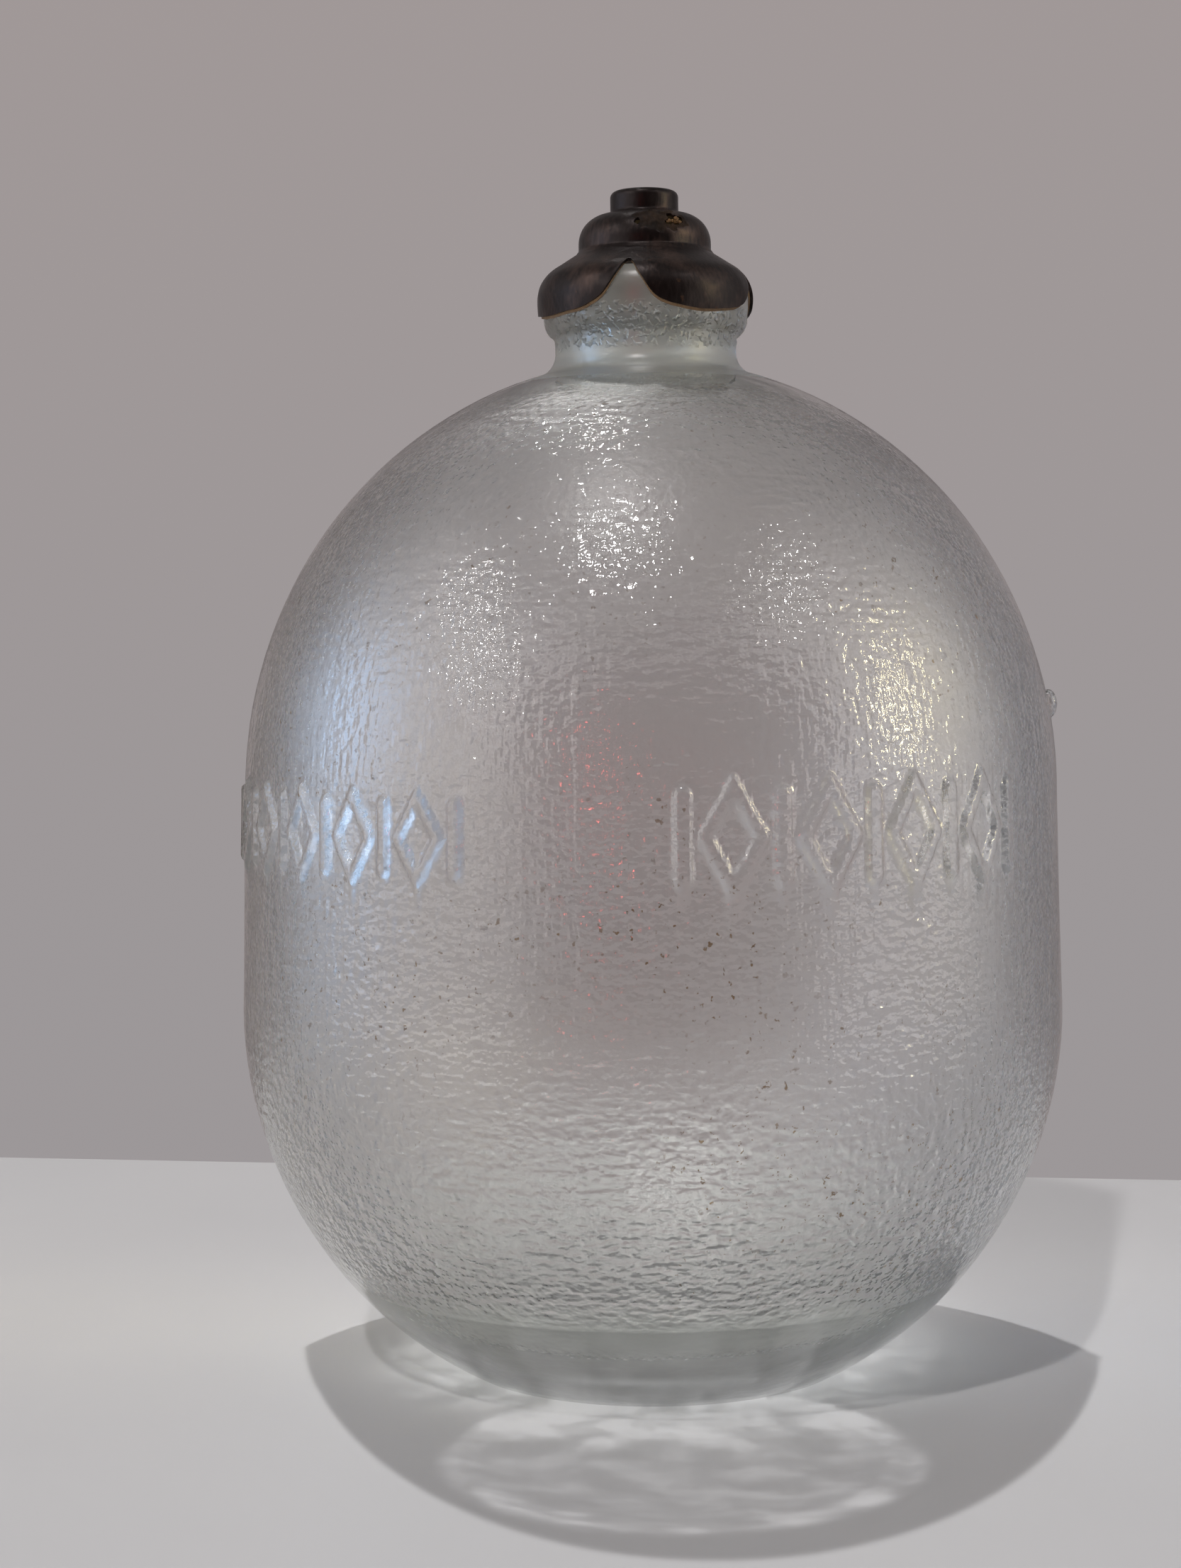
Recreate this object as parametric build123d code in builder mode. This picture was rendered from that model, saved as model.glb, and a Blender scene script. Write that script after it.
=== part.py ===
from build123d import *

import os
from math import asin, atan2, cos, degrees, hypot, radians, sin, sqrt, tan

# Glass tank float. A hollow moulded glass vessel has a short neck that ends in a rolled bead. A cap of
# thin sheet brass sits over the bead on a washer, is bedded in sealing compound, and is held by four
# petals crimped down over the bead. Under its dome the cap traps a blind bushing that is tapped for the
# float rod. Millimetres, +Z up, origin at the centre of the flat base.

# Vessel: a round bowl, a slightly tapered barrel and an oval shoulder of three arcs
body_radius = 50.8
waist_height = 45.1
barrel_height = 26.7
shoulder_radius = 50.2
shoulder_arc_radii = (55.7, 51.4, 47.8)
shoulder_arc_ends = (30.0, 60.0)
base_edge_round = 5.0
neck_radius = 11.2
neck_root_round = 3.0

# Hollow inside the vessel
glass_wall = 2.6
base_thickness = 6.0
hollow_floor_round = 8.0
mouth_radius = 8.0
mouth_root_round = 3.0

# Rolled bead round the mouth
lip_height = 135.4
bead_radius = 12.75
bead_crown = 3.95
bead_equator_drop = 3.1
bead_side_length = 2.5
bead_roll_in = 0.2
bead_heel = 2.2

# Cap of thin sheet
sheet = 0.4
seal_gap = 0.25
skirt_slope = 30.0
petal_side_length = 2.3
dome_radius = 8.15
dome_height = 4.9
dome_round = 3.5
boss_radius = 4.22
boss_height = 2.9
boss_round = 0.8

# Arched notches between the petals: half widths, each with its drop below the skirt's top crease
petal_count = 4
first_notch_angle = -99.5
notch_tip_drop = 2.0
notch_half_outline = ((0.6, 2.2), (1.1, 3.1), (2.4, 5.4), (4.0, 6.9), (7.4, 7.9), (9.4, 8.3))
notch_foot_drop = 9.5

# Sealing compound under the petals' sides
seal_clearance = 0.02
seal_bleed = 0.25

# Washer, and the bushing for the float rod
washer_thickness = 1.0
washer_clearance = 0.1
bushing_clearance = 0.2
bushing_floor = 1.5
rod_radius = 3.175
rod_clearance = 0.125
thread_depth = 0.625
thread_lead_in = 0.5

# Heights and radii that follow from the sizes above
barrel_top = waist_height + barrel_height
equator_height = lip_height - bead_equator_drop
bead_side_radius = hypot(bead_side_length, bead_roll_in) ** 2 / (2 * bead_roll_in)
rim_height = equator_height - petal_side_length


def slope_start(gap):
    """Where the bead's crown, moved out by gap, turns into the straight slope of the skirt."""
    turn = radians(90 - skirt_slope)
    reach = bead_crown + gap
    return bead_radius - bead_crown + reach * cos(turn), equator_height + reach * sin(turn)


def crease_height(inset):
    """Height at which the skirt's slope meets the dome's wall, on a surface moved in by inset."""
    radius, height = slope_start(seal_gap + sheet - inset)
    return height + (radius - dome_radius + inset) * tan(radians(skirt_slope))


crease = crease_height(0)
shelf_height = crease + dome_height
cap_top = shelf_height + boss_height


def vessel_outline(wall, floor, floor_round, throat, root_round):
    """The vessel's outer wall moved in by wall, from the axis at floor to the throat; returns its end."""
    reach = body_radius - wall - floor_round
    floor_turn = asin((waist_height - floor - floor_round) / reach)
    flat = reach * cos(floor_turn)
    bowl_turn = degrees(floor_turn)
    Line((0, floor), (flat, floor))
    CenterArc((flat, floor + floor_round), floor_round, -90, 90 - bowl_turn)
    CenterArc((0, waist_height), body_radius - wall, -bowl_turn, bowl_turn)
    Line((body_radius - wall, waist_height), (shoulder_radius - wall, barrel_top))
    centre_radius, centre_height = shoulder_radius - shoulder_arc_radii[0], barrel_top
    turn = 0.0
    for radius, smaller, end in zip(shoulder_arc_radii, shoulder_arc_radii[1:], shoulder_arc_ends):
        CenterArc((centre_radius, centre_height), radius - wall, turn, end - turn)
        centre_radius += (radius - smaller) * cos(radians(end))
        centre_height += (radius - smaller) * sin(radians(end))
        turn = end
    last_radius = shoulder_arc_radii[-1] - wall
    run = throat + root_round - centre_radius
    rise = sqrt((last_radius + root_round) ** 2 - run**2)
    last_turn = degrees(atan2(rise, run))
    CenterArc((centre_radius, centre_height), last_radius, turn, last_turn - turn)
    CenterArc((throat + root_round, centre_height + rise), root_round, 180 + last_turn, -last_turn)
    return throat, centre_height + rise


def crown_arc(gap, top_turn=90 - skirt_slope):
    """The bead's rounded crown moved out by gap, from its equator up to the angle top_turn."""
    return CenterArc((bead_radius - bead_crown, equator_height), bead_crown + gap, 0, top_turn)


def side_arc(gap, foot):
    """The bead's side moved out by gap, from its equator down to the height foot."""
    reach = bead_side_radius + gap
    turn = degrees(asin((equator_height - foot) / reach))
    return CenterArc((bead_radius - bead_side_radius, equator_height), reach, 0, -turn)


def cap_profile(inset):
    """Half section under the cap's outer surface moved in by inset, closed by the axis and the rim."""
    dome_centre = (dome_radius - dome_round, shelf_height - dome_round)
    boss_edge, boss_top = boss_radius - boss_round, cap_top - boss_round
    with BuildSketch(Plane.XZ) as profile:
        with BuildLine():
            Line((0, cap_top - inset), (boss_edge, cap_top - inset))
            CenterArc((boss_edge, boss_top), boss_round - inset, 90, -90)
            Polyline(
                (boss_radius - inset, boss_top),
                (boss_radius - inset, shelf_height - inset),
                (dome_centre[0], shelf_height - inset),
            )
            CenterArc(dome_centre, dome_round - inset, 90, -90)
            Polyline(
                (dome_radius - inset, dome_centre[1]),
                (dome_radius - inset, crease_height(inset)),
                slope_start(seal_gap + sheet - inset),
            )
            crown_arc(seal_gap + sheet - inset)
            side = side_arc(seal_gap + sheet - inset, rim_height)
            Polyline(side @ 1, (0, rim_height), (0, cap_top - inset))
        make_face()
    return profile


def notch_profile(angle, margin=0.0):
    """Arched opening between two petals, less a margin all round, on the upright plane facing along angle."""
    outward = Vector(cos(radians(angle)), sin(radians(angle)), 0)
    across = Vector(-sin(radians(angle)), cos(radians(angle)), 0)
    right = [(width - margin, -drop - margin) for width, drop in notch_half_outline]
    left = [(-width, level) for width, level in right]
    with BuildSketch(Plane(origin=(0, 0, crease), x_dir=across, z_dir=outward)) as profile:
        with BuildLine():
            ThreePointArc(left[0], (0, -notch_tip_drop - margin), right[0])
            Spline(*right)
            Spline(*left)
            foot_right, foot_left = [(point[0], -notch_foot_drop) for point in (right[-1], left[-1])]
            Polyline(right[-1], foot_right, foot_left, left[-1])
        make_face()
    return profile


notch_angles = [first_notch_angle + 360 / petal_count * i for i in range(petal_count)]
os.makedirs("parts", exist_ok=True)

# Vessel: flat base, bowl, barrel, shoulder, neck and rolled bead, then the hollow inside
heel_centre = (bead_radius - bead_roll_in - bead_heel, equator_height - bead_side_length)
heel_rise = sqrt(bead_heel**2 - (neck_radius - heel_centre[0]) ** 2)
heel_turn = degrees(atan2(heel_rise, neck_radius - heel_centre[0]))
crown_turn = degrees(asin(bead_equator_drop / bead_crown))
with BuildPart() as glass_body:
    with BuildSketch(Plane.XZ):
        with BuildLine():
            neck_root = vessel_outline(0, 0, base_edge_round, neck_radius, neck_root_round)
            heel = CenterArc(heel_centre, bead_heel, -heel_turn, heel_turn)
            Line(neck_root, heel @ 0)
            side_arc(0, heel_centre[1])
            crown = crown_arc(0, crown_turn)
            Polyline(crown @ 1, (0, lip_height), (0, 0))
        make_face()
    revolve(axis=Axis.Z)
    with BuildSketch(Plane.XZ):
        with BuildLine():
            mouth_root = vessel_outline(
                glass_wall, base_thickness, hollow_floor_round, mouth_radius, mouth_root_round
            )
            Polyline(mouth_root, (mouth_radius, lip_height), (0, lip_height), (0, base_thickness))
        make_face()
    revolve(axis=Axis.Z, mode=Mode.SUBTRACT)
glass_body.part.label = "glass_body"
export_step(glass_body.part, "parts/glass_body.step")

# Cap: boss, dome and skirt of sheet, holed for the rod and notched into petals
with BuildPart() as crimped_cap:
    revolve(cap_profile(0).sketch, axis=Axis.Z)
    revolve(cap_profile(sheet).sketch, axis=Axis.Z, mode=Mode.SUBTRACT)
    with Locations((0, 0, cap_top)):
        Hole(rod_radius + rod_clearance, depth=2 * sheet)
    for angle in notch_angles:
        extrude(notch_profile(angle).sketch, amount=2 * bead_radius, mode=Mode.SUBTRACT)
crimped_cap.part.label = "crimped_cap"
export_step(crimped_cap.part, "parts/crimped_cap.step")

# Sealing compound: a band between the bead's side and the petals that bleeds out a little below them
with BuildPart() as sealing_compound:
    with BuildSketch(Plane.XZ):
        with BuildLine():
            foot = rim_height - seal_bleed
            inner_side = side_arc(seal_clearance, foot)
            outer_side = side_arc(seal_gap - seal_clearance, foot)
            Line(inner_side @ 0, outer_side @ 0)
            Line(inner_side @ 1, outer_side @ 1)
        make_face()
    revolve(axis=Axis.Z)
    for angle in notch_angles:
        extrude(notch_profile(angle, seal_bleed).sketch, amount=2 * bead_radius, mode=Mode.SUBTRACT)
sealing_compound.part.label = "sealing_compound"
export_step(sealing_compound.part, "parts/sealing_compound.step")

# Washer: a soft disc that covers the mouth and reaches out on the lip until the skirt's slope stops it
washer_top = lip_height + washer_thickness
slope_radius, slope_height = slope_start(seal_gap)
washer_radius = slope_radius - (washer_top + washer_clearance - slope_height) / tan(radians(skirt_slope))
with BuildPart() as lip_washer:
    with Locations((0, 0, lip_height)):
        Cylinder(washer_radius, washer_thickness, align=(Align.CENTER, Align.CENTER, Align.MIN))
lip_washer.part.label = "lip_washer"
export_step(lip_washer.part, "parts/lip_washer.step")

# Bushing: a turned nut that fills the dome, its collar up inside the boss, tapped blind from the top
inset = sheet + bushing_clearance
collar_top = cap_top - inset
thread_bottom = washer_top + bushing_floor
with BuildPart() as rod_bushing:
    with BuildSketch(Plane.XZ):
        with BuildLine():
            Polyline(
                (0, washer_top),
                (dome_radius - inset, washer_top),
                (dome_radius - inset, shelf_height - dome_round),
                (dome_radius - dome_round, shelf_height - inset),
                (boss_radius - inset, shelf_height - inset),
                (boss_radius - inset, collar_top),
                (0, collar_top),
                close=True,
            )
        make_face()
    revolve(axis=Axis.Z)
    with Locations((0, 0, collar_top)):
        Hole(rod_radius - thread_depth, depth=collar_top - thread_bottom)
    mouth = rod_bushing.faces().sort_by(Axis.Z)[-1].inner_wires().edges()
    chamfer(mouth, thread_lead_in)
rod_bushing.part.label = "rod_bushing"
export_step(rod_bushing.part, "parts/rod_bushing.step")
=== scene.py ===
# %% [markdown]
# # A glass tank float
#
# The object is a hollow float of moulded glass with a crimped metal cap. This lesson dresses its solid
# model: it loads the model as a fixed frame, replaces the pieces whose real surface is richer than plain
# solids, and gives every piece a material made of nodes. Lengths are metres, +Z is up, and -Y is the front.

# %% Load the frame
from bisect import bisect_right
from math import atan2, ceil, cos, degrees, hypot, pi, radians, sin, sqrt

import bmesh
import bpy
from mathutils import Matrix, Vector, noise


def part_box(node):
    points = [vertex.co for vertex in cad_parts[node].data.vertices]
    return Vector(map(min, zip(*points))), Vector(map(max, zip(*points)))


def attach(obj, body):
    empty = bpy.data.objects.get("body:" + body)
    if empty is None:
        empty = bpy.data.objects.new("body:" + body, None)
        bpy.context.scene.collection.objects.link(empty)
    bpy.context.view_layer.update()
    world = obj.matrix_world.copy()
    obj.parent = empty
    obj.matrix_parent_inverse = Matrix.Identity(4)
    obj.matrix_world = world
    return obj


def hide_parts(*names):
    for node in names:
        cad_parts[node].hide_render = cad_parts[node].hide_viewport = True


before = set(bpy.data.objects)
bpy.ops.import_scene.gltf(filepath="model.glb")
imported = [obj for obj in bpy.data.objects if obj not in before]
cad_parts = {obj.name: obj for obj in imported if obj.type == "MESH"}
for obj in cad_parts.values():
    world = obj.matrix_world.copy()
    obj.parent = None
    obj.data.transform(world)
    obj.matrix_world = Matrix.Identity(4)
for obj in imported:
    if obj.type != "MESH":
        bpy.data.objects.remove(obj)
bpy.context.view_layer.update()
MM = 0.001
_, glass_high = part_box("glass_body")
cap_low, cap_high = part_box("crimped_cap")
bushing_low, bushing_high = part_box("rod_bushing")
print("Nodes:", sorted(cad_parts))

# %% [markdown]
# ## Shader arithmetic
#
# Patterns on the glass and the metal are sums and products of noises. Wiring each Math node by hand hides
# the formula, so a small class wraps a socket and lets Python's own operators add the nodes.


# %% Signals and finishes
def connect(tree, value, slot):
    """Sets an input socket to a value, or links it to a signal."""
    if isinstance(value, Signal):
        tree.links.new(value.socket, slot)
    else:
        slot.default_value = value


class Signal:
    """One output socket, so that arithmetic on it adds Math nodes to its tree."""

    def __init__(self, tree, socket):
        self.tree = tree
        self.socket = socket

    def maths(self, operation, *values, clamp=False):
        """One Math node, given all its values."""
        node = self.tree.nodes.new("ShaderNodeMath")
        node.operation = operation
        node.use_clamp = clamp
        for slot, value in zip(node.inputs, values):
            connect(self.tree, value, slot)
        return Signal(self.tree, node.outputs[0])

    def __add__(self, other):
        return self.maths("ADD", self, other)

    def __sub__(self, other):
        return self.maths("SUBTRACT", self, other)

    def __rsub__(self, other):
        return self.maths("SUBTRACT", other, self)

    def __mul__(self, other):
        return self.maths("MULTIPLY", self, other)

    __radd__ = __add__
    __rmul__ = __mul__

    def size(self, other):
        """The length of the arrow whose two sides are this signal and another."""
        return self.maths("SQRT", self * self + other * other)

    def magnitude(self):
        """The signal without its sign."""
        return self.maths("ABSOLUTE", self)

    def capped(self, most):
        """The signal, but never above most."""
        return self.maths("MINIMUM", self, most)

    def step(self, low, high):
        """0 below low, 1 above high, and a straight rise between, or the other way round."""
        return self.maths("DIVIDE", self - low, high - low, clamp=True)


class Finish:
    """The nodes of a new material or world, with one method that adds any node."""

    def __init__(self, owner, coordinates="Object"):
        owner.use_nodes = True
        self.owner = owner
        self.tree = owner.node_tree
        self.tree.nodes.clear()
        self.place = self.add("TexCoord", output=coordinates)

    def add(self, kind, output=0, inputs=None, **settings):
        """Any node by its type, with its settings and inputs; returns one of its outputs."""
        node = self.tree.nodes.new("ShaderNode" + kind)
        for name, value in settings.items():
            setattr(node, name, value)
        for name, value in (inputs or {}).items():
            connect(self.tree, value, node.inputs[name])
        return None if output is None else Signal(self.tree, node.outputs[output])

    def split(self, vector):
        """The three parts of a vector."""
        node = self.tree.nodes.new("ShaderNodeSeparateXYZ")
        connect(self.tree, vector, node.inputs[0])
        return [Signal(self.tree, part) for part in node.outputs]

    def grain(self, size, stretch=(1, 1, 1), detail=2.0, shift=0.0):
        """Noise from 0 to 1 whose lumps are about size across, stretched along the axes."""
        spread = tuple(1 / (size * share) for share in stretch)
        moved = {"Vector": self.place, "Scale": spread, "Location": (shift,) * 3}
        lumps = {"Vector": self.add("Mapping", inputs=moved), "Scale": 1.0, "Detail": detail}
        return self.add("TexNoise", inputs={**lumps, "Roughness": 0.5})

    def mix(self, factor, first, second):
        """Colours first and second blended by factor."""
        return self.add("Mix", output=2, data_type="RGBA", inputs={0: factor, 6: first, 7: second})

    def bump(self, height, depth):
        """A normal roughened by height, which rises depth for a change of 1."""
        return self.add("Bump", inputs={"Height": height, "Distance": depth})

    def principled(self, **inputs):
        """The material made of one Principled shader, whose sockets are named with underscores."""
        spaced = {name.replace("_", " "): value for name, value in inputs.items()}
        return self.finish(self.add("BsdfPrincipled", inputs=spaced))

    def finish(self, surface):
        """Links the last shader to the output node; returns the finished material or world."""
        kind = "OutputWorld" if isinstance(self.owner, bpy.types.World) else "OutputMaterial"
        self.add(kind, output=None, inputs={"Surface": surface})
        return self.owner


# %% [markdown]
# ## Outlines and meshes
#
# Everything on the float is turned about one axis. An outline of arcs and lines is walked in even steps,
# and a spin sweeps it round. The helpers below draw arcs, pick the steps and finish a mesh.


# %% Outline helpers
coarse_step, fine_step = 0.1 * MM, 0.05 * MM


def arc(centre, radius, start, end, step=coarse_step):
    """Points on a circle from angle start to end, in degrees, about a step apart."""
    count = max(2, ceil(abs(radians(end - start)) * radius / step))
    turns = [radians(start + (end - start) * i / count) for i in range(count + 1)]
    return [(centre[0] + radius * cos(turn), centre[1] + radius * sin(turn)) for turn in turns]


def lengths(points):
    """The running length of an outline at each of its points."""
    run = [0.0]
    for (r0, z0), (r1, z1) in zip(points, points[1:]):
        run.append(run[-1] + hypot(r1 - r0, z1 - z0))
    return run


def along(points, run, length):
    """The point at a given length along an outline."""
    i = min(max(bisect_right(run, length) - 1, 0), len(points) - 2)
    share = (length - run[i]) / max(run[i + 1] - run[i], 1e-12)
    (r0, z0), (r1, z1) = points[i], points[i + 1]
    return r0 + (r1 - r0) * share, z0 + (z1 - z0) * share


def walk(points, spacing):
    """The outline walked from end to end in steps of spacing(z)."""
    run = lengths(points)
    length, walked = 0.0, [points[0]]
    while length + 1.5 * spacing(walked[-1][1]) < run[-1]:
        length += spacing(walked[-1][1])
        walked.append(along(points, run, length))
    return walked + [points[-1]]


# %% Mesh helpers
def spun(mesh, outline, steps, sectors=16):
    """Adds the outline, swept a full turn round the axis, to a bmesh; returns the new vertices.

    A spin slows down as its mesh grows, so one sector is swept and then copied round.
    """
    sector = bmesh.new()
    row = [sector.verts.new((r, 0, z)) for r, z in outline]
    edges = [sector.edges.new(pair) for pair in zip(row, row[1:])]
    turn = {"cent": (0, 0, 0), "axis": (0, 0, 1), "angle": 2 * pi / sectors}
    bmesh.ops.spin(sector, geom=row + edges, steps=steps // sectors, **turn)
    data = bpy.data.meshes.new("turned")
    sector.to_mesh(data)
    sector.free()
    ring = bmesh.new()
    for _ in range(sectors):
        ring.from_mesh(data)
        data.transform(Matrix.Rotation(2 * pi / sectors, 4, "Z"))
    bmesh.ops.remove_doubles(ring, verts=ring.verts, dist=0.002 * MM)
    ring.to_mesh(data)
    ring.free()
    old = set(mesh.verts)
    mesh.from_mesh(data)
    bpy.data.meshes.remove(data)
    return [vert for vert in mesh.verts if vert not in old]


def thicken(mesh, thickness):
    """Turns a sheet into a thin solid: a second skin inside it, joined to it along every open edge."""
    bmesh.ops.recalc_face_normals(mesh, faces=mesh.faces)
    mesh.normal_update()
    open_edges = [edge for edge in mesh.edges if edge.is_boundary]
    skin = bmesh.ops.duplicate(mesh, geom=mesh.faces[:])
    twin = skin["vert_map"]
    inner = [part for part in skin["geom"] if isinstance(part, bmesh.types.BMVert)]
    for vert in inner:
        vert.co -= twin[vert].normal * thickness
    for edge in open_edges:
        first, second = edge.verts
        mesh.faces.new((first, second, twin[second], twin[first]))


def piece(mesh, name, material, sharp=60):
    """Turns a bmesh into a shown piece that rides on the float's one body."""
    bmesh.ops.recalc_face_normals(mesh, faces=mesh.faces)
    for face in mesh.faces:
        face.smooth = True
    data = bpy.data.meshes.new(name)
    mesh.to_mesh(data)
    mesh.free()
    data.set_sharp_from_angle(angle=radians(sharp))
    for each in material if isinstance(material, tuple) else (material,):
        data.materials.append(each)
    made = bpy.data.objects.new(name, data)
    bpy.context.scene.collection.objects.link(made)
    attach(made, "root")
    print(name, len(data.vertices), "vertices")
    return made


def ease(share):
    """A smooth rise from 0 to 1."""
    share = min(max(share, 0.0), 1.0)
    return share * share * (3 - 2 * share)


def band(value, low, high, soft):
    """1 between low and high, easing to 0 over soft outside them."""
    return ease((value - low) / soft + 1) * ease((high - value) / soft + 1)


# %% [markdown]
# ## The vessel
#
# The real vessel is pressed in a cast mould, and its outside keeps the mould's pebbled grain, slow waves
# and a raised band round the middle. A plain revolve would look like a lamp globe. The outline here is
# the solid's own, spun finely enough to carry the waves and the band in the mesh, and the finest grain is
# left to the material.

# %% Sizes of the vessel
body_radius = glass_high.x
lip_height = glass_high.z
waist_height = 45.1 * MM
barrel_top = 71.8 * MM
shoulder_radius = 50.2 * MM
shoulder_arcs = ((55.7 * MM, 30.0), (51.4 * MM, 60.0), (47.8 * MM, None))
neck_radius = 11.2 * MM
neck_root_round = 3.0 * MM
base_edge_round = 5.0 * MM
glass_wall = 2.6 * MM
base_thickness = 6.0 * MM
hollow_floor_round = 8.0 * MM
mouth_radius = 8.0 * MM
mouth_root_round = 3.0 * MM
bead_radius = 12.75 * MM
bead_crown = 3.95 * MM
equator_drop = 3.1 * MM
equator_height = lip_height - equator_drop
bead_side_length = 2.5 * MM
bead_roll_in = 0.2 * MM
bead_heel = 2.2 * MM


# %% Outline of the vessel
def vessel_outline(wall, floor, floor_round, throat, root_round):
    """The outer wall moved in by wall, from the axis at floor to where the throat starts."""
    reach = body_radius - wall - floor_round
    drop = waist_height - floor - floor_round
    turn = degrees(atan2(drop, sqrt(reach**2 - drop**2)))
    flat = reach * cos(radians(turn))
    points = [(0, floor)] + arc((flat, floor + floor_round), floor_round, -90, -turn)
    points += arc((0, waist_height), body_radius - wall, -turn, 0)
    centre = Vector((shoulder_radius - shoulder_arcs[0][0], barrel_top))
    start = 0.0
    for (radius, end), (smaller, _) in zip(shoulder_arcs, shoulder_arcs[1:]):
        points += arc(centre, radius - wall, start, end)
        centre += (radius - smaller) * Vector((cos(radians(end)), sin(radians(end))))
        start = end
    last = shoulder_arcs[-1][0] - wall
    run = throat + root_round - centre.x
    rise = sqrt((last + root_round) ** 2 - run**2)
    end = degrees(atan2(rise, run))
    points += arc(centre, last, start, end)
    points += arc((throat + root_round, centre.y + rise), root_round, 180 + end, 180)
    return points


def crown(gap, end, start=0.0):
    """The bead's rounded crown, moved out by gap."""
    return arc((bead_radius - bead_crown, equator_height), bead_crown + gap, start, end, fine_step)


def side(gap, foot):
    """The bead's side from its equator down to foot, moved out by gap."""
    bow = (bead_side_length**2 + bead_roll_in**2) / (2 * bead_roll_in)
    end = degrees(atan2(foot - equator_height, bow))
    return arc((bead_radius - bow, equator_height), bow + gap, 0, end, fine_step)


heel_centre = (bead_radius - bead_roll_in - bead_heel, equator_height - bead_side_length)
heel_run = neck_radius - heel_centre[0]
heel_turn = degrees(atan2(sqrt(bead_heel**2 - heel_run**2), heel_run))
outer_wall = vessel_outline(0, 0, base_edge_round, neck_radius, neck_root_round)
outer_wall += arc(heel_centre, bead_heel, -heel_turn, 0)
outer_wall += side(0, heel_centre[1])[::-1]
outer_wall += crown(0, degrees(atan2(equator_drop, sqrt(bead_crown**2 - equator_drop**2))))
inner_wall = vessel_outline(glass_wall, base_thickness, hollow_floor_round, mouth_radius, mouth_root_round)
inner_wall += [(mouth_radius, lip_height)]
print("Outer wall", round(lengths(outer_wall)[-1] / MM), "mm long")

# %% [markdown]
# The raised band is a plain ornament of upright bars and outlined lozenges by turns, moulded in two groups.
# Each mark is a distance to a line, eased into a soft-edged rise.

# %% Raised marks
mark_rise = 0.5 * MM
mark_soft = 0.42 * MM
mark_reach = 1.5 * MM
lozenge_stroke = 0.8


def ornament(first, last, count, foot, head, half_stroke):
    """Bars and lozenges by turns, as (azimuth, is a lozenge, foot, head, half width, half stroke)."""
    spacing = (last - first) / (count - 1)
    half_width = 0.57 * radians(spacing) * body_radius
    size = (foot, head, half_width, half_stroke)
    return [(first + spacing * i, i % 2 == 1, *size) for i in range(count)]


marks = ornament(4, 54, 9, 63.4 * MM, 74.4 * MM, 0.95 * MM)
marks += ornament(-79, -25, 11, 64.2 * MM, 73.2 * MM, 0.80 * MM)
band_low, band_high = 62 * MM, 76 * MM
print("Marks", len(marks))


def mark_height(azimuth, z):
    """How far the raised marks stand out at an azimuth from the front, in degrees, and a height."""
    tallest = 0.0
    for middle, lozenge, foot, head, half_width, half_stroke in marks:
        across = abs(radians(azimuth - middle) * body_radius)
        if across > half_width + mark_reach:
            continue
        if lozenge:
            half_height = (head - foot) / 2
            outline = across / half_width + abs(z - (foot + head) / 2) / half_height - 1
            away = abs(outline) / hypot(1 / half_width, 1 / half_height)
            edge = lozenge_stroke * half_stroke - away
        else:
            edge = half_stroke - hypot(across, max(foot + half_stroke - z, z - head + half_stroke, 0.0))
        tallest = max(tallest, ease(edge / mark_soft + 0.5))
    return tallest * mark_rise


# %% Waves of the mould
def waves(x, y, z):
    """Slow waves of the outside, in metres, fading out at the smooth foot and the neck."""
    sway = noise.noise(Vector((x, y, z)) / (16 * MM))
    swells = noise.noise(Vector((x / 12, y / 12, z / 5)) / MM)
    return (0.05 * sway + 0.03 * swells - 0.04) * MM * band(z, 17 * MM, 118 * MM, 4 * MM)


def neck_bubbles(x, y, z):
    """Small blisters under the bead."""
    blister = max(0.0, noise.noise(Vector((x, y, z)) / (1.3 * MM)))
    return 0.28 * MM * blister * band(z, 127 * MM, 129.6 * MM, 0.8 * MM)


# %% Build the vessel
full_turn = 512
neck_foot, frost_foot = 122 * MM, 121.5 * MM
hollow_middle = Vector((0, 0, 60 * MM))
# The order of the three glasses in the vessel's materials
moulded, inner, frosted = 0, 1, 2
# Most of the turn's steps fall on the marked front: shares of the turn, each with its azimuth
crowding = ((0.0, -180.0), (0.125, -84.0), (0.845, 60.0), (1.0, 180.0))


def crowded(azimuth):
    """The azimuth that an evenly spread one is moved to."""
    share = (azimuth + 180) / 360
    for (start, low), (end, high) in zip(crowding, crowding[1:]):
        if share <= end:
            return low + (high - low) * (share - start) / (end - start)
    return azimuth


def on_outside(place, normal):
    """Whether a point of the closed vessel lies on its outer wall and not in the hollow."""
    if place.z > neck_foot:
        return normal.x * place.x + normal.y * place.y > 0
    return normal.dot(place - hollow_middle) > 0


def outer_step(z):
    """How far apart the outside's rows stand: closest in the raised band."""
    if z > neck_foot:
        return 0.5 * MM
    return 0.4 * MM if band_low < z < band_high else 2.2 * MM


def inner_step(z):
    """How far apart the hollow's rows stand: closer in the tight curves of its throat."""
    return 6 * MM if z < 110 * MM else 1.5 * MM


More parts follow.
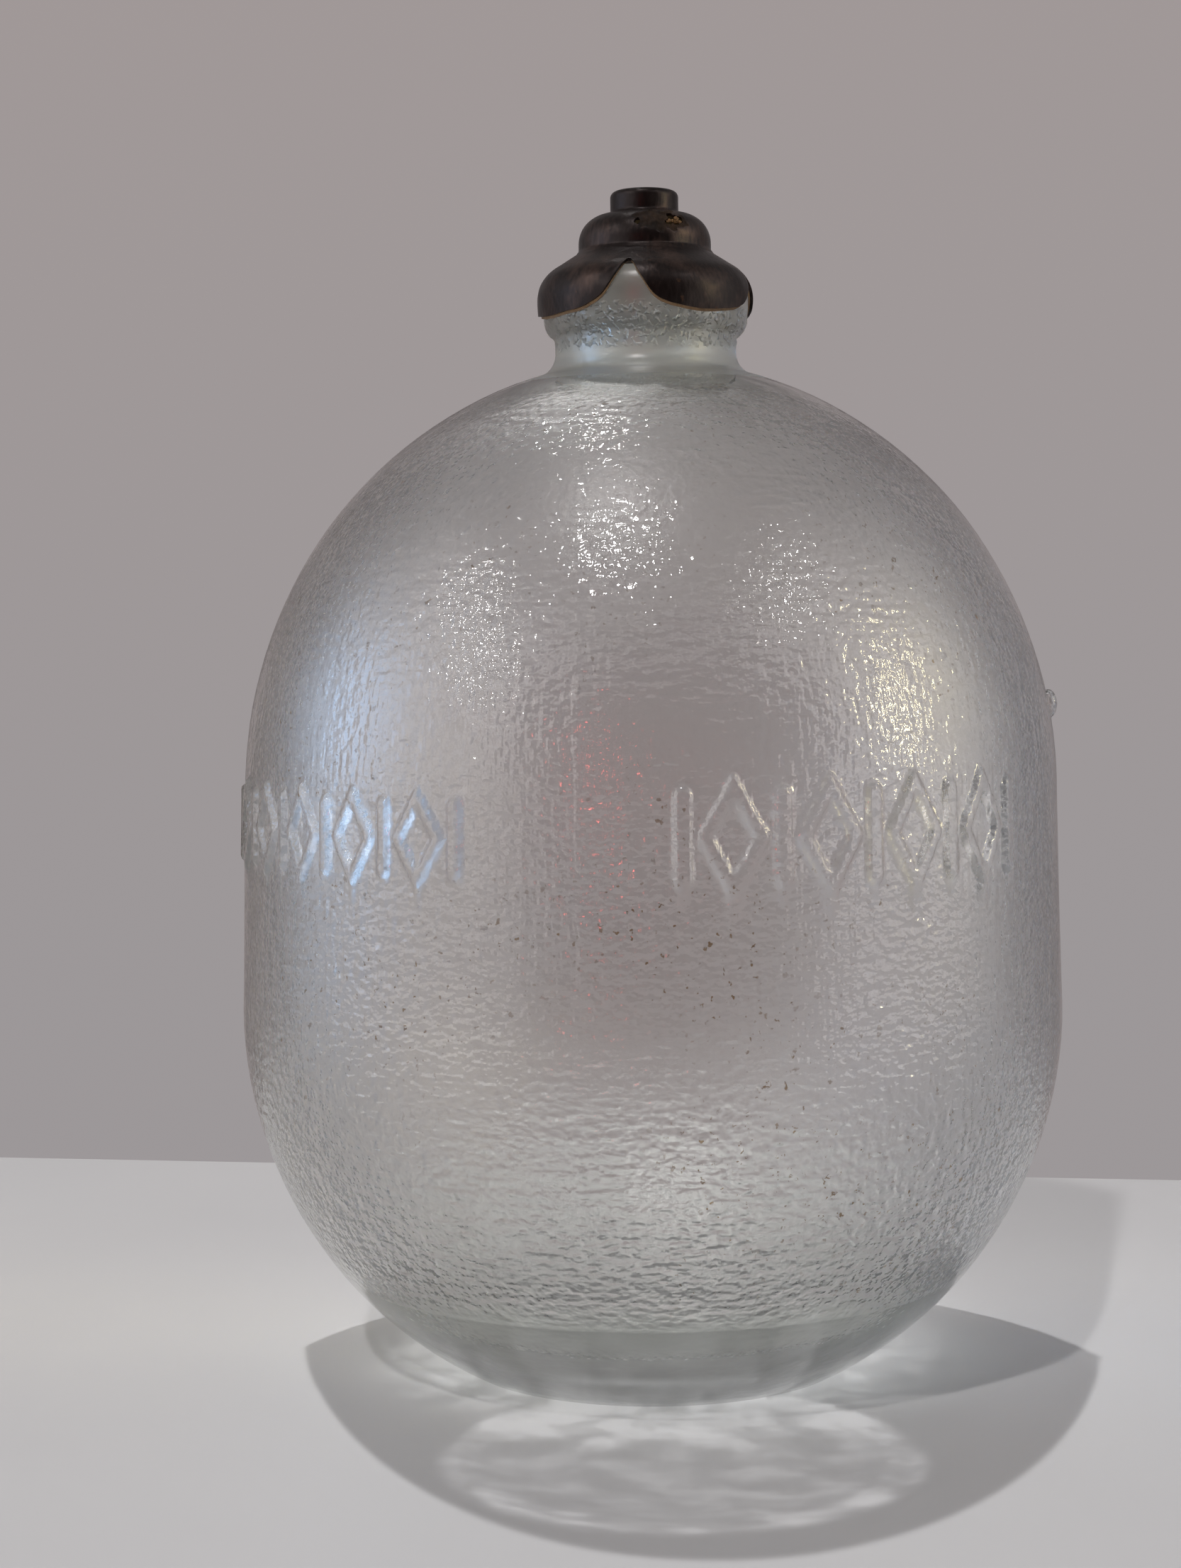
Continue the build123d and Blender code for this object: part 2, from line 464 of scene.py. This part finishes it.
vessel = bmesh.new()
spun(vessel, walk(outer_wall, outer_step) + walk(inner_wall, inner_step)[::-1], full_turn)
for vert in vessel.verts:
    x, y, _ = vert.co
    radius, azimuth = hypot(x, y), radians(crowded(degrees(atan2(x, -y))))
    vert.co.x, vert.co.y = radius * sin(azimuth), -radius * cos(azimuth)
bmesh.ops.recalc_face_normals(vessel, faces=vessel.faces)
vessel.normal_update()
for face in vessel.faces:
    middle = face.calc_center_median()
    if middle.z > frost_foot:
        face.material_index = frosted
    else:
        face.material_index = moulded if on_outside(middle, face.normal) else inner
for vert in vessel.verts:
    if on_outside(vert.co, vert.normal):
        x, y, z = vert.co
        height = waves(x, y, z) + neck_bubbles(x, y, z)
        if band_low < z < band_high:
            height += mark_height(degrees(atan2(x, -y)), z)
        vert.co += vert.normal * height
print("Vessel faces", len(vessel.faces))


# %% [markdown]
# The outside mirrors the room crisply in its orange-peel grain, while the hollow's wall is dull and blurs
# what stands behind. The neck is frosty and full of small bubbles, so each of the three has a material.
#
# Glass that blocked every lamp would throw a black shadow. The real bowl gathers the light into a bright
# ring inside a grey shadow, and this glass carries the same ring: each point of it is slid along the lamp's
# rays down to the table, and its distance from the ring's centre decides how much light it lets through.

# %% Light through the glass
lamp_azimuth, lamp_elevation, lamp_distance = -163.0, 71.0, 1.1
aim = Vector((0, 0, 0.06))
# On the table: the ring's centre and radius, and the middle and half axes of the whole shadow
ring_centre, ring_radius = (3 * MM, -43 * MM), 26 * MM
shade_centre, shade_size = (6 * MM, 60 * MM), (56 * MM, 138 * MM)


def toward(azimuth, elevation):
    """Unit vector from the float to what stands at an azimuth from its front and an elevation."""
    around, up = radians(azimuth), radians(elevation)
    return Vector((cos(up) * sin(around), -cos(up) * cos(around), sin(up)))


def lamplight(made):
    """Share of the lamps' rays let through: all at the shoulder, and a ring of light from the bowl."""
    x, y, z = made.split(made.place)
    lamp_place = aim + lamp_distance * toward(lamp_azimuth, lamp_elevation)
    spread = z.maths("DIVIDE", lamp_place.z, lamp_place.z - z)
    table_x = lamp_place.x + (x - lamp_place.x) * spread
    table_y = lamp_place.y + (y - lamp_place.y) * spread
    mottle = made.grain(6 * MM, detail=3.0, shift=13.0).step(0.40, 0.62)
    reach = (table_x - ring_centre[0]).size(table_y - ring_centre[1])
    rising = reach.step(ring_radius - 4 * MM, ring_radius - 1 * MM)
    falling = reach.step(ring_radius + 2 * MM, ring_radius)
    ring = 0.85 * (rising * falling) * (0.4 + 0.6 * mottle)
    inside = reach.step(ring_radius, ring_radius - 3 * MM) * (0.28 + 0.42 * mottle)
    across = (table_x - shade_centre[0]) * (1 / shade_size[0])
    outside = across.size((table_y - shade_centre[1]) * (1 / shade_size[1])).step(0.985, 1.0)
    behind = 0.40 * table_y.step(-10 * MM, 30 * MM)
    beneath = table_x.size(table_y).step(42 * MM, 28 * MM) * (0.40 + 0.50 * mottle)
    bowl = 0.02 + ring + inside + outside + behind + beneath
    shoulder = z.step(76 * MM, 84 * MM)
    return shoulder + (1 - shoulder) * bowl.capped(1.0)


# %% Glass
# The mould's seam runs a little left of the middle. The outside's grain fades in above the smooth foot and
# out below the neck, and it changes towards the bowl and towards the shoulder
seam_side = -7.6 * MM
foot_fade, neck_fade = (13 * MM, 17 * MM), (120 * MM, 116 * MM)
bowl_fade, shoulder_fade = (48 * MM, 25 * MM), (74 * MM, 88 * MM)
bubbles_start, bubbles_end = (125.5 * MM, 127 * MM), (131 * MM, 130 * MM)


def glass_finish(name, relief_depth, haze, bubbles=0.0, clearness=1.0, glazed=False):
    """Glass grained relief_depth deep and as rough as haze; a glazed one also glitters in the spots."""
    made = Finish(bpy.data.materials.new(name))
    across, _, height = made.split(made.place)
    seam = (across - seam_side).size(0.1 * MM).step(0.8 * MM, 0.1 * MM)
    textured = height.step(*foot_fade) * height.step(*neck_fade)
    pebbles = made.grain(1.1 * MM, (1, 1, 0.8), detail=1.5)
    ripples = made.grain(1.5 * MM, (2.8, 2.8, 0.65), detail=1.0, shift=3.0)
    streaks = made.grain(1.0 * MM, (0.8, 0.8, 7), detail=1.0, shift=7.0)
    lower, upper = height.step(*bowl_fade), height.step(*shoulder_fade)
    relief = pebbles * (0.6 + 0.75 * lower) + ripples * (0.25 + 0.75 * lower + 0.25 * upper)
    relief = (relief + 0.4 * streaks) * (0.08 + 0.92 * textured) + 0.2 * seam
    if bubbles:
        blister = made.grain(0.7 * MM, detail=1.0, shift=17.0).step(0.50, 0.66)
        relief = relief + blister * bubbles * height.step(*bubbles_start) * height.step(*bubbles_end)
    cluster = made.grain(22 * MM, detail=3.0, shift=11.0).step(0.47, 0.60)
    speck = made.grain(0.8 * MM, detail=2.0, shift=5.0).step(0.67, 0.71) * cluster * textured
    tint = made.mix(textured, (0.925, 0.955, 0.915, 1), (0.948, 0.945, 0.938, 1))
    normal = made.bump(relief, relief_depth)
    look = {
        "Base Color": made.mix(speck, tint, (0.24, 0.13, 0.05, 1)),
        "Roughness": haze + 0.3 * speck,
        "Normal": normal,
        "Transmission Weight": clearness,
        "IOR": 1.5,
    }
    glass = made.add("BsdfPrincipled", inputs=look)
    if glazed:
        glaze = made.add("BsdfAnisotropic", inputs={"Roughness": 0.05, "Normal": normal})
        facing = made.add("Fresnel", inputs={"IOR": 1.5, "Normal": normal})
        glass = made.add("MixShader", inputs={0: facing, 1: glass, 2: glaze})
    passed = made.add("LightPath", output="Is Shadow Ray") * lamplight(made)
    clear = made.add("BsdfTransparent")
    return made.finish(made.add("MixShader", inputs={0: passed, 1: glass, 2: clear}))


moulded_glass = glass_finish("moulded glass", 0.30 * MM, 0.06, glazed=True)
inner_glass = glass_finish("dull inner glass", 0.05 * MM, 0.36)
neck_glass = glass_finish("bubbly neck glass", 0.30 * MM, 0.30, bubbles=1.2, clearness=0.82)
glass_piece = piece(vessel, "moulded_vessel", (moulded_glass, inner_glass, neck_glass), sharp=75)
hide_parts("glass_body")

# %% [markdown]
# A small lens of glass stands out from the shoulder at one side, left by a chip in the mould.

# %% Seam nub
nub = bmesh.new()
bmesh.ops.create_uvsphere(nub, u_segments=24, v_segments=14, radius=1.0)
bmesh.ops.scale(nub, vec=(1.1 * MM, 1.3 * MM, 1.8 * MM), verts=nub.verts)
bmesh.ops.translate(nub, vec=(49.5 * MM, -1.0 * MM, 82 * MM), verts=nub.verts)
nub_piece = piece(nub, "seam_nub", moulded_glass)

# %% [markdown]
# ## The cap
#
# The cap is one stamping: a boss, a dome and a skirt, whose edge is cut into four petals and crimped over
# the bead. The skirt is spun as a plain ring first. Then each point slides along the outline so that the
# ring's lower edge follows the arches between the petals, which keeps the cut edge smooth.

# %% Outline of the cap
sheet = 0.4 * MM
seal_gap = 0.25 * MM
skirt_slope = 30.0
dome_radius = 8.15 * MM
dome_round = 3.5 * MM
boss_radius = 4.22 * MM
boss_round = 0.8 * MM
boss_foot_round = 0.5 * MM
boss_height = 2.9 * MM
dome_height = 4.9 * MM
rod_hole = 3.3 * MM
cap_top = cap_high.z
shelf_height = cap_top - boss_height
crease_height = shelf_height - dome_height
rim_height = cap_low.z
# The plain skirt runs on below the rim, so that its edge has room to slide
skirt_spare = 0.8 * MM

dome_outline = [(rod_hole, cap_top)]
dome_outline += arc((boss_radius - boss_round, cap_top - boss_round), boss_round, 90, 0, fine_step)
foot_centre = (boss_radius + boss_foot_round, shelf_height + boss_foot_round)
dome_outline += arc(foot_centre, boss_foot_round, 180, 270, fine_step)
dome_outline += arc((dome_radius - dome_round, shelf_height - dome_round), dome_round, 90, 0, fine_step)
dome_outline += [(dome_radius, crease_height + 0.5 * MM)]
dome_outline += [(dome_radius + 0.45 * MM, crease_height - 0.1 * MM)]
skirt_outline = [dome_outline[-1]]
skirt_outline += crown(seal_gap + sheet, 0, 90 - skirt_slope)
skirt_outline += side(seal_gap + sheet, rim_height - skirt_spare)[1:]
skirt_run = lengths(skirt_outline)
print("Skirt", round(skirt_run[-1] / MM, 2), "mm long")

# %% Edge of the petals
# Half widths of an arch between two petals, each with its drop below the crease
arch = ((0.0, 1.75), (0.5, 2.2), (1.05, 3.1), (1.8, 4.25), (2.5, 5.35), (3.1, 6.15), (4.0, 6.8), (5.6, 7.4))
arch += ((7.4, 7.75), (9.4, 7.95))
arch_angles = (-99.5, -9.5, 80.5, 157.0)


def skirt_length_at(drop):
    """How far along the skirt the outline has come down by drop below the crease."""
    for length, (_, z) in zip(skirt_run, skirt_outline):
        if crease_height - z >= drop:
            return length
    return skirt_run[-1]


arch_lengths = [skirt_length_at(drop * MM) for _, drop in arch]
arch_radii = [along(skirt_outline, skirt_run, length)[0] for length in arch_lengths]
arch_turns = [degrees(half * MM / radius) for (half, _), radius in zip(arch, arch_radii)]


def edge_length(angle):
    """Length along the skirt to the petals' edge at an angle round the axis, in degrees."""
    away = min(abs((angle - middle + 180) % 360 - 180) for middle in arch_angles)
    i = min(bisect_right(arch_turns, away), len(arch_turns) - 1)
    share = min((away - arch_turns[i - 1]) / (arch_turns[i] - arch_turns[i - 1]), 1.0)
    length = arch_lengths[i - 1] + (arch_lengths[i] - arch_lengths[i - 1]) * share
    wobble = noise.noise(Vector((cos(radians(angle)), sin(radians(angle)), 0.3)) * 3)
    return length + 0.25 * MM * wobble * ease(away / 12)


def smooth_edge(angle, spread=1.4):
    """The petals' edge with its corners rounded off."""
    return sum(edge_length(angle + spread * i / 2) for i in range(-2, 3)) / 5


smooth_edges = [smooth_edge(360 * turn / full_turn) for turn in range(full_turn)]


# %% Dents of the sheet
def dents(x, y, z, depth):
    """Soft dents from crimping and a century of knocks."""
    broad = noise.noise(Vector((x, y, z)) / (5.5 * MM))
    small = noise.noise(Vector((x, y, z)) / (1.7 * MM) + Vector((4, 4, 4)))
    return depth * (0.7 * broad + 0.3 * small)


def skirt_piece(mesh, rows, bleed=0.0, inset=0.0, depth=0.12 * MM):
    """Adds the spun skirt to a mesh, its points slid so that its edge follows the petals."""
    outline = [along(skirt_outline, skirt_run, skirt_run[-1] * i / rows) for i in range(rows + 1)]
    for vert in spun(mesh, outline, full_turn):
        x, y, z = vert.co
        radius, angle = hypot(x, y), degrees(atan2(y, x))
        share = min(range(rows + 1), key=lambda i: abs(outline[i][1] - z)) / rows
        edge = smooth_edges[round(angle * full_turn / 360) % full_turn]
        r, h = along(skirt_outline, skirt_run, share * (edge + bleed))
        lift = dents(x, y, z, depth) * ease(3 * share)
        scale = (r - inset + lift) / radius
        vert.co = Vector((x * scale, y * scale, h - inset * ease(2 - 2 * share) * 0.8))


# %% Build the cap
skirt_rows = 30
dome_step = 0.18 * MM
weld_gap = 0.03 * MM
# Patches as azimuth and height of the middle, half width in degrees and half height
scab = (13.0, 141.35 * MM, 27.0, 1.35 * MM)
tears = ((29.0, 141.45 * MM, 8.0, 0.75 * MM), (-7.0, 141.0 * MM, 4.0, 0.45 * MM))


def inside_patch(place, patch, raggedness):
    """How deep a point lies in a ragged oval patch of the dome: 1 in the middle, 0 on its edge."""
    azimuth, height, half_width, half_height = patch
    across = (degrees(atan2(place.x, -place.y)) - azimuth) / half_width
    ragged = noise.noise(place / (0.9 * MM)) * raggedness
    return 1 - hypot(across, (place.z - height) / half_height) - ragged


cap = bmesh.new()
for vert in spun(cap, walk(dome_outline, lambda z: dome_step), full_turn):
    x, y, z = vert.co
    inward = dents(x, y, z, 0.10 * MM) * ease((cap_top - z) / (3 * MM))
    eaten = ease(4 * inside_patch(vert.co, scab, 0.5))
    inward -= eaten * (0.16 + 0.20 * noise.noise(vert.co / (0.45 * MM))) * MM
    scale = 1 + inward / hypot(x, y)
    vert.co = Vector((x * scale, y * scale, z - 0.10 * MM * eaten))
holes = []
for face in cap.faces:
    middle = face.calc_center_median()
    face.material_index = int(inside_patch(middle, scab, 0.5) > 0)
    if any(inside_patch(middle, tear, 0.6) > 0 for tear in tears):
        holes.append(face)
bmesh.ops.delete(cap, geom=holes, context="FACES")
skirt_piece(cap, skirt_rows)
bmesh.ops.remove_doubles(cap, verts=cap.verts, dist=weld_gap)
print("Cap faces", len(cap.faces))

# %% [markdown]
# The cap's metal is thin brass under a dark brown patina, nearly black in the hollows. Rubbed crests show
# bronze, and a dull bloom breaks up the shine, so both colour and roughness follow two noises.


# %% Cap metal
def patina_finish(name, dark, bronze, dullness):
    """Thin metal under a dark skin; bronze shows where it is rubbed, and crusts are duller."""
    made = Finish(bpy.data.materials.new(name))
    broad = made.grain(5.5 * MM, detail=3.0)
    fine = made.grain(0.5 * MM, (1, 1, 2.5), detail=2.0, shift=4.0)
    worn = (broad * 0.8 + fine * 0.2).step(0.50, 0.72)
    darker, paler = [(*(share * part for part in dark), 1) for share in (0.55, 1.45)]
    colour = made.mix(worn, made.mix(fine, darker, paler), (*bronze, 1))
    rust = made.grain(1.3 * MM, detail=3.0, shift=9.0).step(0.70, 0.80)
    colour = made.mix(rust * 0.5, colour, (0.10, 0.045, 0.020, 1))
    shine = dullness + 0.16 * fine + 0.12 * rust
    relief = made.bump(broad * 0.4 + fine * 0.6, 0.05 * MM)
    look = {"Base_Color": colour, "Metallic": 0.6, "Roughness": shine, "Specular_IOR_Level": 0.3}
    return made.principled(**look, Normal=relief)


patina = patina_finish("dark brown patina", (0.013, 0.0085, 0.0080), (0.060, 0.038, 0.031), 0.27)
crust = patina_finish("corroded crust", (0.010, 0.0065, 0.005), (0.045, 0.026, 0.015), 0.62)
thicken(cap, sheet)
cap_piece = piece(cap, "petal_cap", (patina, crust), sharp=50)
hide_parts("crimped_cap")

# %% [markdown]
# Sealing compound was spread on the bead before the cap was crimped. A little was squeezed out and dried as
# a thin brown line along the petals' edges. It is the same sliding skirt, one sheet further in and a little
# longer.

# %% Sealing compound
compound_made = Finish(bpy.data.materials.new("dried compound"))
clots = compound_made.grain(0.9 * MM, detail=3.0)
compound_colour = compound_made.mix(clots, (0.10, 0.055, 0.028, 1), (0.30, 0.20, 0.11, 1))
compound_bump = compound_made.bump(clots, 0.12 * MM)
compound_finish = compound_made.principled(Base_Color=compound_colour, Roughness=0.75, Normal=compound_bump)
compound = bmesh.new()
skirt_piece(compound, skirt_rows, bleed=0.28 * MM, inset=0.42 * MM, depth=0.05 * MM)
thicken(compound, 0.18 * MM)
compound_piece = piece(compound, "compound_line", compound_finish)
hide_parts("sealing_compound")

# %% [markdown]
# The dome's shoulder has corroded through. Crumbs of rust cling to one end of the tear: small balls, knocked
# out of round, and pressed together.

# %% Rust crumbs in the tear
rust_made = Finish(bpy.data.materials.new("rust crumbs"))
rusty = rust_made.grain(0.5 * MM, detail=3.0)
rust_colour = rust_made.mix(rusty, (0.05, 0.018, 0.007, 1), (0.26, 0.15, 0.06, 1))
rust_bump = rust_made.bump(rusty, 0.1 * MM)
rust_finish = rust_made.principled(Base_Color=rust_colour, Roughness=0.8, Normal=rust_bump)
crumbs = bmesh.new()
for i in range(9):
    azimuth = radians(38 - 1.9 * i + 2 * sin(5.1 * i))
    size = (0.30 - 0.015 * i) * MM
    reach = 7.05 * MM + 0.2 * MM * sin(3.3 * i)
    height = 141.3 * MM - 0.25 * MM * cos(2.3 * i)
    ball = bmesh.ops.create_icosphere(crumbs, subdivisions=3, radius=size)["verts"]
    for vert in ball:
        vert.co *= 1 + 0.5 * noise.noise(vert.co / (0.35 * MM) + Vector((i, 0, 0)))
    bmesh.ops.translate(crumbs, vec=(reach * sin(azimuth), -reach * cos(azimuth), height), verts=ball)
crumb_piece = piece(crumbs, "rust_crumbs", rust_finish)

# %% [markdown]
# ## Bushing and washer
#
# Under the dome sits a turned bushing, tapped for a quarter-inch rod. The thread is a ridge: one small
# blunt wedge swept up a helix, whose ends are then filled. The washer is the frame's own disc with a rubber
# finish.

# %% Threaded bushing
brass_made = Finish(bpy.data.materials.new("dull turned brass"))
turning = brass_made.grain(0.5 * MM, (8, 8, 0.4), detail=2.0)
tarnish = brass_made.grain(3 * MM, detail=3.0, shift=6.0)
brass_finish = brass_made.principled(
    Base_Color=brass_made.mix(tarnish, (0.12, 0.08, 0.045, 1), (0.36, 0.26, 0.13, 1)),
    Metallic=0.9,
    Roughness=0.35 + 0.25 * tarnish,
    Normal=brass_made.bump(turning, 0.03 * MM),
)
bushing_side = bushing_high.x
collar_radius = boss_radius - 0.6 * MM
bore_radius = 3.2 * MM
bore_floor = bushing_low.z + 1.5 * MM
collar_foot = shelf_height - 0.6 * MM
bushing_outline = [
    (0, bore_floor),
    (bore_radius, bore_floor),
    (bore_radius, bushing_high.z - 0.3 * MM),
    (bore_radius + 0.25 * MM, bushing_high.z),
    (collar_radius, bushing_high.z),
    (collar_radius, collar_foot),
    (dome_radius - dome_round, collar_foot),
    (bushing_side, shelf_height - dome_round),
    (bushing_side, bushing_low.z),
    (0, bushing_low.z),
]
bushing = bmesh.new()
spun(bushing, bushing_outline, 96)
bushing_piece = piece(bushing, "rod_nut", brass_finish, sharp=30)
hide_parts("rod_bushing")

# %% Thread
thread_pitch = 1.27 * MM
thread_turns, thread_steps = 4, 48
# The ridge's foot is sunk a little into the wall of the bore
root, crest = bore_radius + 0.02 * MM, 2.6 * MM
thread = bmesh.new()
ridge = [(root, 0.0), (crest, 0.55 * MM), (crest, 0.7 * MM), (root, 1.2 * MM)]
corners = [thread.verts.new((r, 0, bore_floor + 0.1 * MM + z)) for r, z in ridge]
start_face = thread.faces.new(corners)
bmesh.ops.spin(
    thread,
    geom=[start_face],
    cent=(0, 0, 0),
    axis=(0, 0, 1),
    dvec=(0, 0, thread_pitch / thread_steps),
    angle=2 * pi * thread_turns,
    steps=thread_turns * thread_steps,
    use_merge=False,
)
bmesh.ops.holes_fill(thread, edges=[edge for edge in thread.edges if edge.is_boundary])
thread_piece = piece(thread, "rod_thread", brass_finish, sharp=30)

# %% Rubber washer
rubber_made = Finish(bpy.data.materials.new("aged rubber"))
bloom = rubber_made.grain(2 * MM, detail=3.0)
rubber_finish = rubber_made.principled(
    Base_Color=rubber_made.mix(bloom, (0.022, 0.019, 0.017, 1), (0.075, 0.065, 0.055, 1)),
    Roughness=0.6 + 0.25 * bloom,
    Normal=rubber_made.bump(bloom, 0.05 * MM),
)
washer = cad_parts["lip_washer"]
washer.data.materials.clear()
washer.data.materials.append(rubber_finish)

# %% [markdown]
# ## Table, world and lamps
#
# The float stands on a white table in front of a grey-mauve wall. The table is a slab whose back edge meets
# the wall's colour, which the world gives, so the float can still be seen from behind. Glass mirrors and
# bends its surroundings, so the world also has the room in front: bright walls round a dark doorway.

# %% Table
table_made = Finish(bpy.data.materials.new("white table"))
mottle = table_made.grain(60 * MM, detail=2.0)
table_colour = table_made.mix(mottle, (0.505, 0.51, 0.525, 1), (0.555, 0.56, 0.57, 1))
table_finish = table_made.principled(Base_Color=table_colour, Roughness=0.45, Specular_IOR_Level=0.15)
table_width, table_depth, table_thickness = 1.6, 0.9, 0.02
table_back, table_turn = 0.125, radians(-7.7)
table_mesh = bmesh.new()
bmesh.ops.create_cube(table_mesh, size=1.0)
bmesh.ops.scale(table_mesh, vec=(table_width, table_depth, table_thickness), verts=table_mesh.verts)
bmesh.ops.translate(table_mesh, vec=(0, -table_depth / 2, -table_thickness / 2), verts=table_mesh.verts)
bmesh.ops.rotate(table_mesh, matrix=Matrix.Rotation(table_turn, 3, "Z"), verts=table_mesh.verts)
bmesh.ops.translate(table_mesh, vec=(0, table_back, 0), verts=table_mesh.verts)
table_data = bpy.data.meshes.new("table")
table_mesh.to_mesh(table_data)
table_mesh.free()
table_data.materials.append(table_finish)
table_top = bpy.data.objects.new("table", table_data)
bpy.context.scene.collection.objects.link(table_top)
print("Table", table_width, "by", table_depth, "m")

# %% World
room = Finish(bpy.data.worlds.new("room"), "Generated")
sideways, away, upward = room.split(room.place)
# The wall as the eye sees it, with painted light: a little lighter and warmer above, where the room's light
# falls
wall = room.mix(upward.step(-0.1, 0.35), (0.335, 0.312, 0.318, 1), (0.360, 0.316, 0.311, 1))
# The room as the glass mirrors it: bright walls in front and beside, a dark doorway between them, and a dim
# ceiling. The wall behind is painted shade: dimmer than the eye sees it, for the float's shadow on that wall
mirrored = room.add("LightPath", output="Is Glossy Ray")
bright = room.mix(mirrored, (0.36, 0.335, 0.33, 1), (1.6, 1.53, 1.51, 1))
shaded_backdrop = room.mix(mirrored, (0.23, 0.198, 0.198, 1), (0.26, 0.23, 0.228, 1))
walls = room.mix(away.step(-0.05, 0.45), bright, shaded_backdrop)
surround = room.mix(upward.step(0.50, 0.80), walls, (0.24, 0.225, 0.22, 1))
beside = (sideways - 0.10).magnitude()
above = (upward - 0.18).magnitude()
doorway = beside.size(above * 1.7).step(0.74, 0.66) * away.step(-0.15, -0.25)
surround = room.mix(doorway, surround, (0.070, 0.045, 0.044, 1))
seen = room.add("LightPath", output="Is Camera Ray")
# Shelves, corners and curtains: patches of the room are lighter or darker
clutter = room.add("TexNoise", inputs={"Vector": room.place, "Scale": 7.0, "Detail": 2.0}).step(0.42, 0.58)
strength = seen + (1 - seen) * (0.62 + 0.72 * clutter)
background = room.add("Background", inputs={"Color": room.mix(seen, surround, wall), "Strength": strength})
bpy.context.scene.world = room.finish(background)
print("World nodes", len(room.tree.nodes))


# %% Lamps
def lamp(name, azimuth, elevation, size, power, colour, tall=None):
    """An area lamp at an azimuth from the front and an elevation, turned to the float."""
    direction = toward(azimuth, elevation)
    light = bpy.data.lights.new(name, "AREA")
    light.shape = "RECTANGLE" if tall else "DISK"
    light.size = size
    if tall:
        light.size_y = tall
    light.energy = power
    light.color = colour
    holder = bpy.data.objects.new(name, light)
    bpy.context.scene.collection.objects.link(holder)
    holder.location = aim + lamp_distance * direction
    holder.rotation_euler = direction.to_track_quat("Z", "Y").to_euler()
    return holder


def all_but(name, *pieces):
    """A light linking collection for everything but some pieces."""
    left_out = bpy.data.collections.new(name)
    for each in pieces:
        left_out.objects.link(each)
    for member in left_out.collection_objects:
        member.light_linking.link_state = "EXCLUDE"
    return left_out


# Two lamps light everything but the glass, which would gather their rays twice. The cap throws no shadow,
# so that the ring of light stays whole
cap_pieces = (cap_piece, compound_piece, crumb_piece, bushing_piece, thread_piece, washer)
lit = all_but("lit by the table lamps", glass_piece, nub_piece)
casters = all_but("casts the table lamps' shadows", *cap_pieces)
for ceiling in (
    lamp("ceiling_back", lamp_azimuth, lamp_elevation, 0.022, 6.6, (1.0, 0.98, 0.97)),
    lamp("ceiling", -20, 45, 0.04, 4.4, (1.0, 0.97, 0.95)),
):
    ceiling.visible_glossy = False
    ceiling.visible_transmission = False
    ceiling.light_linking.receiver_collection = lit
    ceiling.light_linking.blocker_collection = casters
# One window glows in the glass; the rest only glitters on its glaze and the cap
window_haze = lamp("window_haze", -84, 13, 0.24, 0.45, (0.36, 0.60, 1.0), tall=0.40)
spots = (
    lamp("window", -84, 13, 0.17, 2.3, (0.33, 0.61, 1.0), tall=0.40),
    lamp("warm_strip", 74, 18, 0.045, 1.5, (1.0, 0.86, 0.46), tall=0.40),
    lamp("spot_top", -153, 70, 0.05, 0.40, (1.0, 0.98, 0.97)),
    lamp("spot_middle", -18, 66, 0.09, 2.4, (1.0, 0.97, 0.96)),
    lamp("spot_left", -64, 44, 0.05, 0.6, (1.0, 0.97, 0.94)),
    lamp("spot_low", -50, 30, 0.05, 0.5, (1.0, 0.97, 0.94)),
    lamp("spot_right", 53, 47, 0.05, 0.5, (1.0, 0.97, 0.94)),
    lamp("red_sign", -14, 7, 0.08, 0.25, (1.0, 0.12, 0.10)),
)
on_float = all_but("lit by windows and spots", table_top)
for glint in (window_haze, *spots):
    glint.visible_diffuse = False
    glint.visible_transmission = glint is window_haze
    glint.light_linking.receiver_collection = on_float
print("Lamps", len(bpy.data.lights))

# %% Camera
camera_data = bpy.data.cameras.new("camera")
camera_data.lens = 62.25
camera_data.sensor_fit = "VERTICAL"
camera_data.sensor_height = 36.0
camera = bpy.data.objects.new("camera", camera_data)
bpy.context.scene.collection.objects.link(camera)
camera_distance, camera_height = 0.3386, 0.0883
pitch, pan, roll = radians(2.67), radians(1.25), radians(-0.59)
camera.location = (0, -camera_distance, camera_height)
turned = Matrix.Rotation(pan, 3, "Z") @ Matrix.Rotation(pi / 2 - pitch, 3, "X")
camera.rotation_euler = (turned @ Matrix.Rotation(roll, 3, "Z")).to_euler()
bpy.context.scene.camera = camera
bpy.context.scene.view_settings.view_transform = "Standard"
print("Camera", camera_distance, "m in front")
